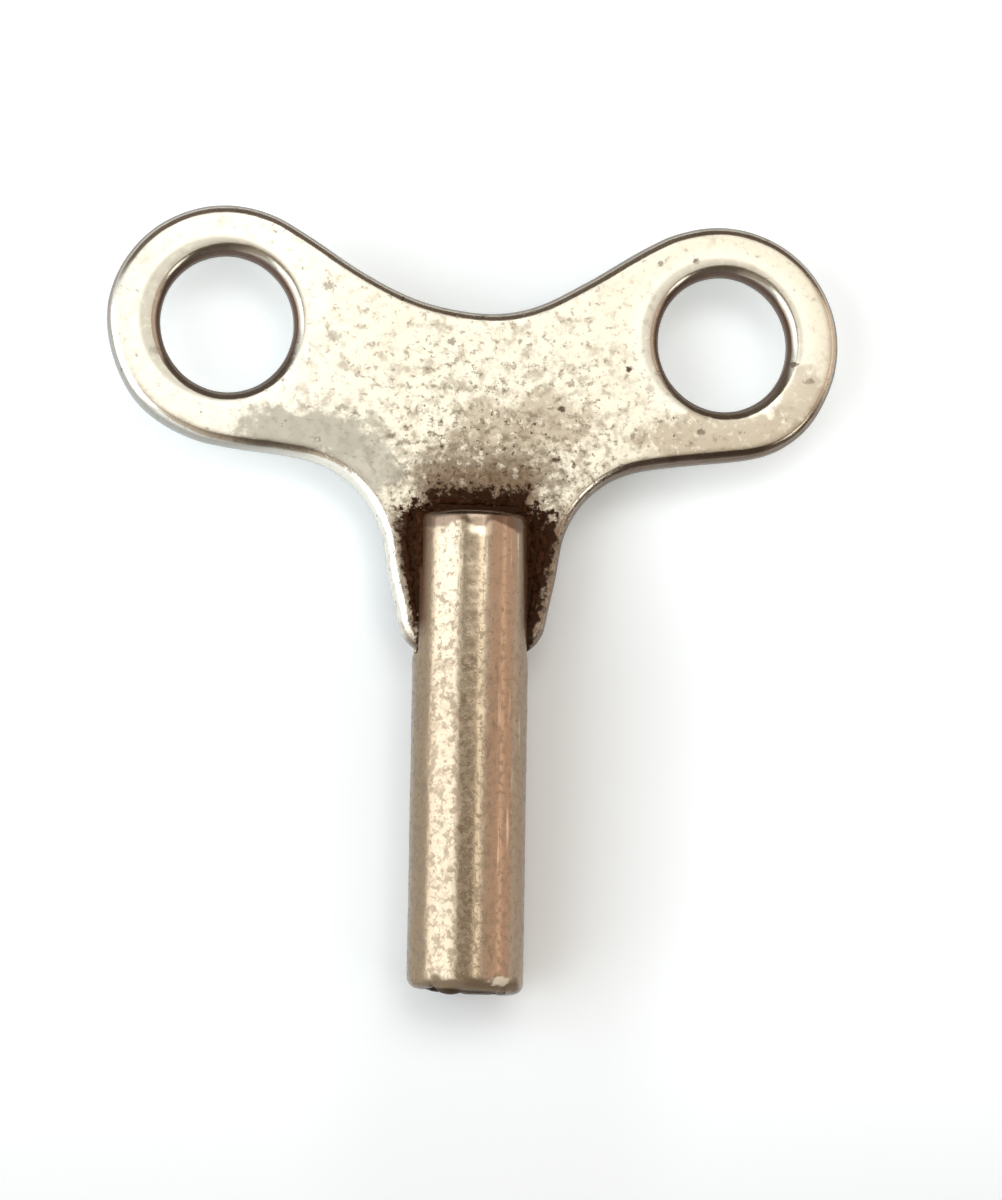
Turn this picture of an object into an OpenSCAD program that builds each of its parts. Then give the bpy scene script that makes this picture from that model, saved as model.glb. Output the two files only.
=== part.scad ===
// Winged winding key: a stamped plate bow with two finger loops, brazed into a slotted round barrel.
// The key lies flat. X runs across the wings and Z out of the front face of the bow. Y runs up the
// barrel from its open mouth to the bow, and the origin is at the middle of the mouth.

/* [Bow plate] */
// Thickness of the stamped plate
plate_t = 2.0; // [1.6:0.1:2.6]
// Rounding of the outer edges of the plate
edge_r = 0.5; // [0.3:0.05:0.7]
// Distance of each finger hole from the barrel axis
loop_spread = 15.2; // [13.5:0.1:18]
// Height of the finger holes above the bottom of the tang
loop_rise = 19.7; // [18:0.1:24]
// Outer radius of each loop
loop_r = 7.3; // [6.4:0.1:8]
// Diameter of each finger hole
finger_hole_d = 8.2; // [6:0.1:9]
// Rounding of the rims of the finger holes
hole_rim_r = 0.6; // [0.2:0.05:0.7]
// Depth of the dip in the top edge below the tops of the loops
dip_depth = 5.95; // [4.8:0.05:6.5]
// Slope of the top edge between the dip and a loop, in degrees
flank_slope = 30.6; // [26:0.2:34]
// Slope of the lower edge of each wing, in degrees
under_slope = 8.3; // [4:0.1:14]
// Radius of the inside curve between a wing and the tang
neck_r = 6.35; // [4:0.05:8]

/* [Tang] */
// Width of the tang at its bottom, before its corners are rounded
tang_w = 8.9; // [8.2:0.1:10]
// Lean of each side of the tang away from the barrel, in degrees
tang_flare = 8.1; // [4:0.1:12]
// Radius of the two bottom corners of the tang
tang_corner_r = 2.2; // [1.4:0.1:3]

/* [Barrel] */
// Outer diameter of the barrel
barrel_d = 7.0; // [6.6:0.1:8]
// Length of the barrel
barrel_len = 29.0; // [24:0.5:40]
// Rounding of the barrel's rim at the bow
top_round = 0.8; // [0.3:0.05:1.1]
// Rounding of the barrel's rim at the mouth
mouth_round = 0.6; // [0.2:0.05:0.7]
// Depth of the slot that takes the tang
slot_depth = 8.5; // [6:0.1:10]

/* [Socket] */
// Width across the flats of the square socket
socket_flats = 4.25; // [3.5:0.05:4.5]
// Depth of the square part of the socket
socket_depth = 9.5; // [6:0.5:11]
// Diameter of the drilled hole that the square is driven into
pilot_d = 4.5; // [3.8:0.05:4.8]
// Depth of the drilled hole to the start of its pointed end
pilot_depth = 12.0; // [11:0.5:14]
// Point angle of the drill, in degrees
drill_point = 118; // [90:1:140]

/* [Brazing] */
// Reach of each braze fillet over the plate, from the side of the barrel
braze_leg = 0.9; // [0.5:0.05:1]
// Height of each braze fillet above the plate
braze_rise = 0.9; // [0.6:0.05:1.3]
// Thickness of each braze fillet at its outer edge
braze_lip = 0.1; // [0.05:0.01:0.2]
// Height above the bottom of the tang at which the braze starts
braze_start = 1.8; // [1.5:0.1:3]

/* [Fits] */
// Clearance on each side of the plate in the slot
slot_gap = 0.05; // [0.02:0.01:0.1]
// Clearance between the bottom of the tang and the floor of the slot
seat_gap = 0.05; // [0:0.01:0.1]

/* [Hidden] */
$fn = 96;
// Overrun of a cut past the face that it opens
over = 1;
// Width of the band by which the edge strips lap over the core of the plate
lap = 0.6;
// Inner side of the braze before the barrel is cut away from it, measured in from the shoulder
braze_root = 0.95;
// Points of the core in each rounded stretch of the outline
arc_steps = 24;
// Straight pieces in each rounded edge
edge_steps = 6;

barrel_r = barrel_d / 2;
half_t = plate_t / 2;
hole_r = finger_hole_d / 2;
tang_y = barrel_len - slot_depth + seat_gap;
// The shoulder: half the width of the barrel where it comes out of a face of the plate
shoulder_x = sqrt(barrel_r * barrel_r - half_t * half_t);

function unit(a) = [cos(a), sin(a)];
function arc(c, r, from, to) =
    [for (i = [0:edge_steps]) c + r * unit(from + (to - from) * i / edge_steps)];
function cross_z(a, b) = a.x * b.y - a.y * b.x;

// The outline of the bow is a chain of arcs and lines that run into each other without a corner.
// It is laid out above the bottom of the tang, and its right half runs from the dip to the tang.
loop_c = [loop_spread, loop_rise];
loop_from = -90 + under_slope;
loop_to = 90 + flank_slope;
// Height at which the two sloping flanks would cross, above the line of the finger holes
flank_cross = loop_r / cos(flank_slope) - loop_spread * tan(flank_slope);
// The dip is a hollow arc between the two flanks
dip_rise = loop_r - dip_depth;
dip_r = (dip_rise - flank_cross) / (1 / cos(flank_slope) - 1);
dip_c = [0, loop_rise + dip_rise + dip_r];
dip_to = -90 + flank_slope;
// The lower edge of the wing and the side of the tang, and where the two lines would cross
under_dir = unit(180 + under_slope);
under_start = loop_c + loop_r * unit(loop_from);
tang_dir = unit(-90 - tang_flare);
neck_corner = under_start + under_dir * cross_z([tang_w / 2, 0] - under_start, tang_dir)
    / cross_z(under_dir, tang_dir);
// The inside curve takes the same length off both lines
neck_take = neck_r * tan((90 - under_slope - tang_flare) / 2);
neck_start = neck_corner - neck_take * under_dir;
neck_end = neck_corner + neck_take * tang_dir;
neck_c = neck_start + neck_r * unit(loop_from);
neck_from = 90 + under_slope;
neck_to = 180 - tang_flare;
// The rounded bottom corner of the tang
corner_c = [tang_w / 2 - tang_corner_r * tan((90 - tang_flare) / 2), tang_corner_r];
corner_start = corner_c + tang_corner_r * unit(-tang_flare);

// Points inside an arc of the outline, none of them on the seams between two strips of the edge
function inner_points(c, r, from, to) =
    [for (i = [0.5:arc_steps]) c + r * unit(from + (to - from) * i / arc_steps)];
// Right half of the outline, moved into the plate by a given distance
function half_outline(inset) = concat(
    inner_points(dip_c, dip_r + inset, -90, dip_to),
    inner_points(loop_c, loop_r - inset, loop_to, loop_from),
    inner_points(neck_c, neck_r + inset, neck_from, neck_to),
    inner_points(corner_c, tang_corner_r - inset, -tang_flare, -90));
// The same points for the left half, from the tang up
function left_half(points) = [for (i = [len(points) - 1:-1:0]) [-points[i].x, points[i].y]];

// Section of the rounded edge: the outline is at zero and the plate lies on its left
module edge_section() {
    polygon(concat(
        [[-edge_r - lap, -half_t]],
        arc([-edge_r, edge_r - half_t], edge_r, -90, 0),
        arc([-edge_r, half_t - edge_r], edge_r, 0, 90),
        [[-edge_r - lap, half_t]]));
}

// Rounded edge along an arc that bulges out of the plate
module outer_edge(c, r, from, to) {
    translate(c) rotate(from) rotate_extrude(angle = to - from) translate([r, 0]) edge_section();
}

// Rounded edge along an arc that is hollowed into the plate
module inner_edge(c, r, from, to) {
    translate(c) rotate(from) rotate_extrude(angle = to - from)
        translate([r, 0]) mirror([1, 0]) edge_section();
}

// Rounded edge along a line, with the plate on the right of the way from start to end
module straight_edge(start, end) {
    way = end - start;
    translate(start) rotate([90, 0, atan2(way.y, way.x) + 90]) linear_extrude(norm(way)) edge_section();
}

// Edges of the right wing and of the right side of the tang
module wing_edges() {
    straight_edge(dip_c + dip_r * unit(dip_to), loop_c + loop_r * unit(loop_to));
    outer_edge(loop_c, loop_r, loop_from, loop_to);
    straight_edge(under_start, neck_start);
    inner_edge(neck_c, neck_r, neck_from, neck_to);
    straight_edge(neck_end, corner_start);
    outer_edge(corner_c, tang_corner_r, -90, -tang_flare);
}

// Flat core of the plate, whose sides lie inside the edge strips
module plate_core() {
    points = half_outline(edge_r + lap / 2);
    translate([0, 0, -half_t]) linear_extrude(plate_t) polygon(concat(points, left_half(points)));
}

// Cutter for a finger hole with a rounded rim on both faces
module hole_cutter() {
    rim_x = hole_r + hole_rim_r;
    rotate_extrude() polygon(concat(
        [[0, -half_t - over], [rim_x, -half_t - over]],
        arc([rim_x, hole_rim_r - half_t], hole_rim_r, 270, 180),
        arc([rim_x, half_t - hole_rim_r], hole_rim_r, 180, 90),
        [[rim_x, half_t + over], [0, half_t + over]]));
}

// Stamped plate with the two wings and the tang
module bow() {
    color([0.80, 0.76, 0.66]) translate([0, tang_y, 0]) difference() {
        union() {
            plate_core();
            inner_edge(dip_c, dip_r, -180 - dip_to, dip_to);
            straight_edge([corner_c.x, 0], [-corner_c.x, 0]);
            wing_edges();
            mirror([1, 0, 0]) wing_edges();
        }
        for (side = [-1, 1]) translate([side * loop_spread, loop_rise, 0]) hole_cutter();
    }
}

// Round bar of the barrel with its two rounded rims, before it is slotted and drilled
module barrel_bar() {
    rotate([-90, 0, 0]) rotate_extrude() polygon(concat(
        [[0, 0]],
        arc([barrel_r - mouth_round, mouth_round], mouth_round, -90, 0),
        arc([barrel_r - top_round, barrel_len - top_round], top_round, 0, 90),
        [[0, barrel_len]]));
}

// Drilled hole with its pointed end, made square for the winding arbor
module socket_cutter() {
    tip = pilot_d / 2 / tan(drill_point / 2);
    rotate([-90, 0, 0]) rotate_extrude() polygon([
        [0, -over], [pilot_d / 2, -over], [pilot_d / 2, pilot_depth], [0, pilot_depth + tip]]);
    translate([-socket_flats / 2, -over, -socket_flats / 2])
        cube([socket_flats, socket_depth + over, socket_flats]);
}

// Turned bar, slotted at the bow and hollow at the mouth
module barrel() {
    slot_t = plate_t + 2 * slot_gap;
    color([0.72, 0.64, 0.50]) difference() {
        barrel_bar();
        socket_cutter();
        translate([-barrel_r - over, barrel_len - slot_depth, -slot_t / 2])
            cube([barrel_d + 2 * over, slot_depth + over, slot_t]);
    }
}

// Section of the braze, hollow outside: the shoulder is at zero and the face of the plate is the base
module braze_section(inner) {
    polygon(concat(
        [[inner, 0], [braze_leg, 0]],
        [for (i = [0:edge_steps], a = 90 * i / edge_steps)
            [braze_leg * (1 - sin(a)), braze_rise - (braze_rise - braze_lip) * cos(a)]],
        inner < 0 ? [[inner, braze_rise]] : []));
}

// Braze along the right side of the barrel and round its corner at the bow
module braze_side() {
    side_len = barrel_len - tang_y - braze_start;
    translate([shoulder_x, barrel_len, 0]) {
        rotate([90, 0, 0]) linear_extrude(side_len) braze_section(-braze_root);
        rotate_extrude(angle = 90) braze_section(0);
    }
}

// Braze that has run along the front of the joint: up one side of the barrel, over its end and down
module braze() {
    color([0.36, 0.24, 0.16]) difference() {
        translate([0, 0, half_t]) {
            braze_side();
            mirror([1, 0, 0]) braze_side();
            translate([-shoulder_x, barrel_len, 0]) rotate([90, 0, 90])
                linear_extrude(2 * shoulder_x) braze_section(-braze_root);
        }
        barrel_bar();
    }
}

module braze_front() { braze(); }
module braze_back() { mirror([0, 0, 1]) braze(); }

bow();
barrel();
braze_front();
braze_back();
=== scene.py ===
import random
from math import cos, pi, radians, sin, sqrt, tan
import bmesh
import bpy
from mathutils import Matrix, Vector


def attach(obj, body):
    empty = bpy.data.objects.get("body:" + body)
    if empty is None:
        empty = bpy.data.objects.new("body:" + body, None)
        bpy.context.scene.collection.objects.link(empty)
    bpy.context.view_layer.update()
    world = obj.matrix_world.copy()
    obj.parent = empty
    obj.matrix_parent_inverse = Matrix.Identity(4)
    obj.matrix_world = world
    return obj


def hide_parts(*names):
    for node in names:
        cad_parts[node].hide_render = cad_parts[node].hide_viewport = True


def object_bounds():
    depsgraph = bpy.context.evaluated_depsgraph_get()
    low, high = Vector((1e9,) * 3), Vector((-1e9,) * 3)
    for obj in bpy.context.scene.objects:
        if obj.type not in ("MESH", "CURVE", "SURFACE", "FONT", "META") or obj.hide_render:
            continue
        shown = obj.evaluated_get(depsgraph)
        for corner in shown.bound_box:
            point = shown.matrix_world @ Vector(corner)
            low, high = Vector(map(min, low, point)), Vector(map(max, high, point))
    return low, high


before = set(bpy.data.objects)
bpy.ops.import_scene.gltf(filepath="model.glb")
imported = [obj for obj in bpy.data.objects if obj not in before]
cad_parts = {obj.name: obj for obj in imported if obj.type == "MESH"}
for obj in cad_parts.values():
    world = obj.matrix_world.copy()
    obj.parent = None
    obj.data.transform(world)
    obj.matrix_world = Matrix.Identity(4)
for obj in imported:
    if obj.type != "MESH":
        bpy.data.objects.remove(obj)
cad_low, cad_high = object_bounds()
MM = 0.001


# The view. The key was seen from 24 cm above, from a little to the lower left of it, so the left walls
# of the loops show and the wall of the mouth is just in sight.
EYE = Vector((-29.34, -6.92, 238.63)) * MM
EYE_TURN = [radians(a) for a in (7.187, -7.564, 0.966)]
LENS_PIXELS, FRAME_PIXELS = 4000, 1002
camera_data = bpy.data.cameras.new("view")
camera_data.sensor_width = 36
camera_data.sensor_fit = "HORIZONTAL"
camera_data.lens = 36 * LENS_PIXELS / FRAME_PIXELS
camera_data.clip_start = 0.01
camera = bpy.data.objects.new("view", camera_data)
camera.location = EYE
camera.rotation_euler = EYE_TURN
bpy.context.scene.collection.objects.link(camera)
bpy.context.scene.camera = camera
bpy.context.scene.view_settings.view_transform = "Standard"


# The table and the light. The key lies on white paper beside a wide window on its left. The ceiling is
# bright, the one who looks on stands dark between it and the key, and the right of the room is brown.
FLOOR_SIZE = 3.0
PAPER, PAPER_GLOW = (0.90, 0.96, 1.0), (0.90, 0.97, 1.0)
# The glow whitens the paper for the camera alone. It grows from below the mouth to the wings, and is
# stronger aside from the key and far away from it, so that the paper close beside the key and below the
# mouth is left darker: a painted shade round the key.
GLOW_ABOVE_MOUTH, GLOW_AT_WINGS, GLOW_ASIDE, GLOW_ASIDE_ABOVE, GLOW_FAR = 0.065, 0.145, 0.03, 0.085, 1.0
KEY_MIDDLE = Vector((0, 0.02, 0))
WINDOW_AT = Vector((-0.485, -0.06, 0.250))
WINDOW_SIZE, WINDOW_WATTS, WINDOW_TINT = (0.50, 0.80), 2.3, (0.93, 0.97, 1.0)
CEILING_AT = Vector((0.03, 0.23, 0.53))
CEILING_SIZE, CEILING_WATTS, CEILING_TINT = (0.34, 0.24), 0.62, (1.0, 0.98, 0.94)
ROOM_OVER = (1.30, 1.29, 1.25)
ROOM_RIGHT = (0.86, 0.67, 0.56)
ROOM_STREAK = (1.5, 1.2, 1.0)
ROOM_FIGURE = (0.48, 0.39, 0.30)
ROOM_GAP = (2.9, 2.75, 2.4)
ROOM_LEFT = (1.15, 1.17, 1.18)
ROOM_DARK = (0.11, 0.07, 0.05)
ROOM_LAMP = (2.6, 2.5, 2.35)


def new_material(name):
    material = bpy.data.materials.new(name)
    material.use_nodes = True
    material.node_tree.nodes.clear()
    return material


def add_node(tree, kind, values=(), **settings):
    # A node with its settings, and with its unlinked inputs set by name or number.
    node = tree.nodes.new(kind)
    for name, value in settings.items():
        setattr(node, name, value)
    for key, value in dict(values).items():
        node.inputs[key].default_value = value
    return node


def join(tree, *pairs):
    # Links written as (from node, its output, to node, its input).
    for source, output, target, slot in pairs:
        tree.links.new(source.outputs[output], target.inputs[slot])


def deselect():
    if bpy.context.object and bpy.context.object.mode != "OBJECT":
        bpy.ops.object.mode_set(mode="OBJECT")
    bpy.ops.object.select_all(action="DESELECT")


def area_light(name, at, size, watts, colour):
    data = bpy.data.lights.new(name, "AREA")
    data.shape = "RECTANGLE"
    data.size, data.size_y = size
    data.energy = watts
    data.color = colour
    lamp = bpy.data.objects.new(name, data)
    lamp.location = at
    lamp.rotation_euler = (KEY_MIDDLE - at).to_track_quat("-Z", "Y").to_euler()
    bpy.context.scene.collection.objects.link(lamp)


area_light("window", WINDOW_AT, WINDOW_SIZE, WINDOW_WATTS, WINDOW_TINT)
area_light("ceiling", CEILING_AT, CEILING_SIZE, CEILING_WATTS, CEILING_TINT)


def maths(tree, operation, *terms):
    # A sum of numbers and nodes. A node stands for its first output, and (node, output) for another.
    part = add_node(tree, "ShaderNodeMath", operation=operation)
    for number, term in enumerate(terms):
        if isinstance(term, (int, float)):
            part.inputs[number].default_value = term
        else:
            source, output = term if isinstance(term, tuple) else (term, 0)
            join(tree, (source, output, part, number))
    return part


def all_of(tree, *masks):
    # A mask that is only where all the given ones are.
    whole = masks[0]
    for mask in masks[1:]:
        whole = maths(tree, "MULTIPLY", whole, mask)
    return whole


def ramp(tree, source, output, low, high):
    # A soft step from 0 to 1 between two values, or from 1 to 0 when they are in falling order.
    step = add_node(tree, "ShaderNodeMapRange", {"From Min": low, "From Max": high},
                    interpolation_type="SMOOTHSTEP")
    join(tree, (source, output, step, "Value"))
    return step


def band(tree, source, output, start, full, fade, end):
    # A soft strip: 1 from full to fade, and 0 before the start and after the end.
    return all_of(tree, ramp(tree, source, output, start, full), ramp(tree, source, output, end, fade))


deselect()
bpy.ops.mesh.primitive_plane_add(size=FLOOR_SIZE, location=(0, 0, cad_low[2]))
floor = bpy.context.object
floor.name = "paper"
paper = new_material("paper")
tree = paper.node_tree
out = add_node(tree, "ShaderNodeOutputMaterial")
both = add_node(tree, "ShaderNodeAddShader")
sheet = add_node(tree, "ShaderNodeBsdfDiffuse", {"Color": (*PAPER, 1)})
glow = add_node(tree, "ShaderNodeEmission", {"Color": (*PAPER_GLOW, 1)})
rays = add_node(tree, "ShaderNodeLightPath")
place = add_node(tree, "ShaderNodeTexCoord")
apart = add_node(tree, "ShaderNodeSeparateXYZ")
far = add_node(tree, "ShaderNodeVectorMath", operation="LENGTH")
join(tree, (place, "Object", apart, 0), (place, "Object", far, 0))
off_key = maths(tree, "ABSOLUTE", maths(tree, "SUBTRACT", (apart, "X"), 2.5 * MM))
above_mouth = ramp(tree, apart, "Y", -14 * MM, 2 * MM)
at_wings = ramp(tree, apart, "Y", 18 * MM, 36 * MM)
aside = ramp(tree, off_key, 0, 5.5 * MM, 14 * MM)
far_away = ramp(tree, far, "Value", 45 * MM, 160 * MM)
total = 0.0
for mask, more in ((above_mouth, GLOW_ABOVE_MOUTH), (at_wings, GLOW_AT_WINGS), (aside, GLOW_ASIDE),
                   (all_of(tree, aside, above_mouth), GLOW_ASIDE_ABOVE), (far_away, GLOW_FAR)):
    total = maths(tree, "MULTIPLY_ADD", mask, more, total)
seen = maths(tree, "MULTIPLY", (rays, "Is Camera Ray"), total)
join(tree, (seen, 0, glow, "Strength"), (sheet, 0, both, 0), (glow, 0, both, 1), (both, 0, out, "Surface"))
floor.data.materials.append(paper)

world = bpy.data.worlds.new("room")
bpy.context.scene.world = world
world.use_nodes = True
tree = world.node_tree
tree.nodes.clear()
out = add_node(tree, "ShaderNodeOutputWorld")
sky = add_node(tree, "ShaderNodeBackground", {"Strength": 1.0})
white = add_node(tree, "ShaderNodeBackground", {"Color": (1, 1, 1, 1), "Strength": 1.0})
mix = add_node(tree, "ShaderNodeMixShader")
rays = add_node(tree, "ShaderNodeLightPath")
way = add_node(tree, "ShaderNodeTexCoord")
apart = add_node(tree, "ShaderNodeSeparateXYZ")
join(tree, (way, "Generated", apart, 0))
turn = maths(tree, "ARCTAN2", (apart, "X"), (apart, "Z"))


def tinted(tree, under, over, mask, strength=1.0, slot=0):
    # Lays one colour over another where a mask is, as thickly as its strength.
    part = maths(tree, "MULTIPLY", (mask, slot), strength)
    mixed = add_node(tree, "ShaderNodeMix", {7: (*over, 1)}, data_type="RGBA")
    join(tree, (part, 0, mixed, 0))
    if isinstance(under, tuple):
        mixed.inputs[6].default_value = (*under, 1)
    else:
        join(tree, (under, 2, mixed, 6))
    return mixed


# The room as the metal mirrors it. The turn is the angle from straight above towards the right, and Y is
# how far a direction points along the key, from its mouth to its wings.
figure = all_of(tree, band(tree, turn, 0, -0.70, -0.57, 0.23, 0.31), ramp(tree, apart, "Y", 0.27, 0.19))
gap = all_of(tree, band(tree, turn, 0, 0.15, 0.19, 0.29, 0.33), ramp(tree, apart, "Y", 0.15, 0.12))
below = all_of(tree, ramp(tree, apart, "Y", -0.04, -0.34), ramp(tree, turn, 0, -0.32, 0.04))
lamp = all_of(tree, band(tree, turn, 0, 0.62, 0.70, 0.94, 1.02),
              band(tree, apart, "Y", -0.52, -0.46, -0.28, -0.22))
seen_way = tinted(tree, ROOM_OVER, ROOM_RIGHT, ramp(tree, turn, 0, 0.35, 0.48))
for over, mask in ((ROOM_STREAK, band(tree, turn, 0, 1.00, 1.05, 1.11, 1.16)), (ROOM_FIGURE, figure),
                   (ROOM_GAP, gap), (ROOM_LEFT, ramp(tree, turn, 0, -0.57, -0.70)), (ROOM_DARK, below),
                   (ROOM_DARK, ramp(tree, apart, "Y", 0.42, 0.58)), (ROOM_LAMP, lamp)):
    seen_way = tinted(tree, seen_way, over, mask)
join(tree, (seen_way, 2, sky, "Color"), (rays, "Is Camera Ray", mix, 0), (sky, 0, mix, 1),
     (white, 0, mix, 2), (mix, 0, out, "Surface"))


# The bow. One stamping of steel plate 2 mm thick: two wings with a finger loop in each, and a tang
# that runs down into the barrel. Its edges were rounded in the press and tumbled, then plated.
PLATE_T = 2.0 * MM
LOOP_X, LOOP_R, HOLE_R = 15.2 * MM, 7.3 * MM, 4.1 * MM
HOLE_OVAL, RIGHT_HOLE_OFF = (0.985, 1.03, 1), 0.08 * MM
TANG_Y = 20.55 * MM
LOOP_Y = TANG_Y + 19.7 * MM
# The rounding of the holes' rims and of the outline, and how far round a hole its own rims lie.
HOLE_RIM, EDGE_ROUND, HOLE_ZONE = 0.80 * MM, 0.75 * MM, 1.0 * MM
# The slopes of the outline: from the dip up to the loop, along the wing's underside, and down the tang.
FLANK, UNDER, FLARE = radians(30.6), radians(8.3), radians(8.1)
DIP_DEPTH, NECK_R = 5.95 * MM, 6.35 * MM
TANG_HALF, CORNER_R = 4.45 * MM, 2.2 * MM
BOW_GRAIN = 0.135 * MM
# Two places closer than this count as one.
NEARLY = 0.01 * MM
# Where the press has left the outline uneven: a place on it, and how far it lies from the true line
# there, in mm. Each such place is picked within one radius and pulls on the outline within another.
UNEVEN = ((-21.9, 38.0, 0.10, 0.05), (-14.8, 33.0, 0, -0.14), (-7.5, 43.9, -0.06, -0.10),
          (2.2, 41.6, 0, -0.14), (10.2, 46.0, -0.05, 0.12), (19.6, 34.4, 0.10, -0.11),
          (12.4, 32.4, 0, 0.07), (-4.6, 22.1, 0.28, 0.05), (4.6, 22.1, -0.18, 0.03))
UNEVEN_PICK, UNEVEN_PULL = 0.6 * MM, 3.5 * MM


def heading(angle):
    return Vector((cos(angle), sin(angle), 0))


def cross_z(a, b):
    return a.x * b.y - a.y * b.x


def take_up(piece):
    # Selects this piece alone, as the one to be worked on.
    deselect()
    bpy.context.view_layer.objects.active = piece
    piece.select_set(True)


def finish_with(piece, kind, **settings):
    # Adds a modifier with its settings and applies it.
    modifier = piece.modifiers.new(kind.lower(), kind)
    for name, value in settings.items():
        setattr(modifier, name, value)
    take_up(piece)
    bpy.ops.object.modifier_apply(modifier=modifier.name)


def place_in_mesh(piece):
    # The place of the piece goes into its mesh, and its object stays at the origin.
    take_up(piece)
    bpy.ops.object.transform_apply(location=True, rotation=True, scale=True)


def pick(piece, kind, test):
    # In edit mode, selects the vertices or edges that pass a test, and only those.
    mesh = bmesh.from_edit_mesh(piece.data)
    bpy.ops.mesh.select_all(action="DESELECT")
    bpy.ops.mesh.select_mode(type=kind)
    for element in {"VERT": mesh.verts, "EDGE": mesh.edges}[kind]:
        if test(element):
            element.select = True
    mesh.select_flush_mode()
    bmesh.update_edit_mesh(piece.data)


def draw_to(point, here):
    bpy.ops.mesh.extrude_region_move(TRANSFORM_OT_translate={"value": point - here})
    return point


def draw_arc(centre, angle, here, steps):
    # Drags the point round an arc, anticlockwise when seen from the front.
    bpy.ops.mesh.spin(steps=steps, angle=-angle, center=centre, axis=(0, 0, 1))
    turned = here - centre
    return centre + Vector((turned.x * cos(angle) - turned.y * sin(angle),
                            turned.x * sin(angle) + turned.y * cos(angle), 0))


loop_c = Vector((LOOP_X, LOOP_Y, 0))
loop_from, loop_to = UNDER - pi / 2, FLANK + pi / 2
flank_cross = LOOP_R / cos(FLANK) - LOOP_X * tan(FLANK)
dip_rise = LOOP_R - DIP_DEPTH
dip_r = (dip_rise - flank_cross) / (1 / cos(FLANK) - 1)
dip_c = Vector((0, LOOP_Y + dip_rise + dip_r, 0))
under_dir, tang_dir = heading(pi + UNDER), heading(-pi / 2 - FLARE)
under_start = loop_c + LOOP_R * heading(loop_from)
tang_foot = Vector((TANG_HALF, TANG_Y, 0))
neck_corner = under_start + (under_dir * cross_z(tang_foot - under_start, tang_dir)
                             / cross_z(under_dir, tang_dir))
neck_take = NECK_R * tan((pi / 2 - UNDER - FLARE) / 2)
neck_start = neck_corner - neck_take * under_dir
neck_c = neck_start + NECK_R * heading(loop_from)
corner_c = Vector((TANG_HALF - CORNER_R * tan((pi / 2 - FLARE) / 2), TANG_Y + CORNER_R, 0))

deselect()
start = dip_c - Vector((0, dip_r, 0))
bpy.ops.mesh.primitive_plane_add(size=MM, location=start)
bow = bpy.context.object
bow.name = "bow_plate"
place_in_mesh(bow)
bpy.ops.object.mode_set(mode="EDIT")
bpy.ops.mesh.select_all(action="SELECT")
bpy.ops.mesh.merge(type="CENTER")
at = draw_arc(dip_c, FLANK, start, 16)
at = draw_to(loop_c + LOOP_R * heading(loop_to), at)
at = draw_arc(loop_c, loop_from - loop_to, at, 80)
at = draw_to(neck_start, at)
at = draw_arc(neck_c, pi / 2 - UNDER - FLARE, at, 24)
at = draw_to(corner_c + CORNER_R * heading(-FLARE), at)
at = draw_arc(corner_c, FLARE - pi / 2, at, 12)
draw_to(Vector((0, TANG_Y, 0)), at)
bpy.ops.object.mode_set(mode="OBJECT")
finish_with(bow, "MIRROR", use_axis=(True, False, False), merge_threshold=NEARLY)
bpy.ops.object.mode_set(mode="EDIT")
pick(bow, "EDGE", lambda e: e.calc_length() > MM)
bpy.ops.mesh.subdivide(number_cuts=10)
for x, y, by_x, by_y in UNEVEN:
    spot = Vector((x, y, 0)) * MM
    pick(bow, "VERT", lambda v: (v.co - spot).length < UNEVEN_PICK)
    bpy.ops.transform.translate(value=(by_x * MM, by_y * MM, 0), use_proportional_edit=True,
                                proportional_edit_falloff="SMOOTH", proportional_size=UNEVEN_PULL)
for x in (-LOOP_X, LOOP_X + RIGHT_HOLE_OFF):
    bpy.ops.mesh.primitive_circle_add(vertices=96, radius=HOLE_R, location=(x, LOOP_Y, 0))
    bpy.ops.transform.resize(value=HOLE_OVAL)
bpy.ops.mesh.select_all(action="SELECT")
bpy.ops.mesh.remove_doubles(threshold=NEARLY)
bpy.ops.mesh.fill()
bpy.ops.mesh.select_all(action="SELECT")
bpy.ops.transform.translate(value=(0, 0, -PLATE_T / 2))
bpy.ops.mesh.extrude_region_move(TRANSFORM_OT_translate={"value": (0, 0, PLATE_T)})
bpy.ops.mesh.select_all(action="SELECT")
bpy.ops.mesh.normals_make_consistent(inside=False)


def from_hole(point):
    return (Vector((abs(point.x), point.y, 0)) - loop_c).length


def on_rim(edge):
    return len(edge.link_faces) == 2 and edge.calc_face_angle(0) > radians(60) and all(
        abs(abs(v.co.z) - PLATE_T / 2) < NEARLY for v in edge.verts)


pick(bow, "EDGE", lambda e: on_rim(e) and from_hole(e.verts[0].co) < HOLE_R + HOLE_ZONE)
bpy.ops.mesh.bevel(offset=HOLE_RIM, segments=6, profile=0.5, affect="EDGES", loop_slide=False)
pick(bow, "EDGE", lambda e: on_rim(e) and from_hole(e.verts[0].co) > HOLE_R + HOLE_ZONE)
bpy.ops.mesh.bevel(offset=EDGE_ROUND, segments=6, profile=0.5, affect="EDGES", loop_slide=False)
bpy.ops.object.mode_set(mode="OBJECT")
finish_with(bow, "REMESH", mode="VOXEL", voxel_size=BOW_GRAIN, use_smooth_shade=True)
finish_with(bow, "SMOOTH", factor=0.5, iterations=3)


def relief(piece, size, height):
    # Raises and sinks the surface along its normals by a noise of a given size and height.
    texture = bpy.data.textures.new(piece.name + "_relief", "CLOUDS")
    texture.noise_scale = size
    texture.noise_depth = 2
    finish_with(piece, "DISPLACE", texture=texture, texture_coords="LOCAL", strength=height, mid_level=0.5)


relief(bow, 5 * MM, 0.04 * MM)
relief(bow, 1.1 * MM, 0.02 * MM)
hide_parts("bow")
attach(bow, "root")


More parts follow.
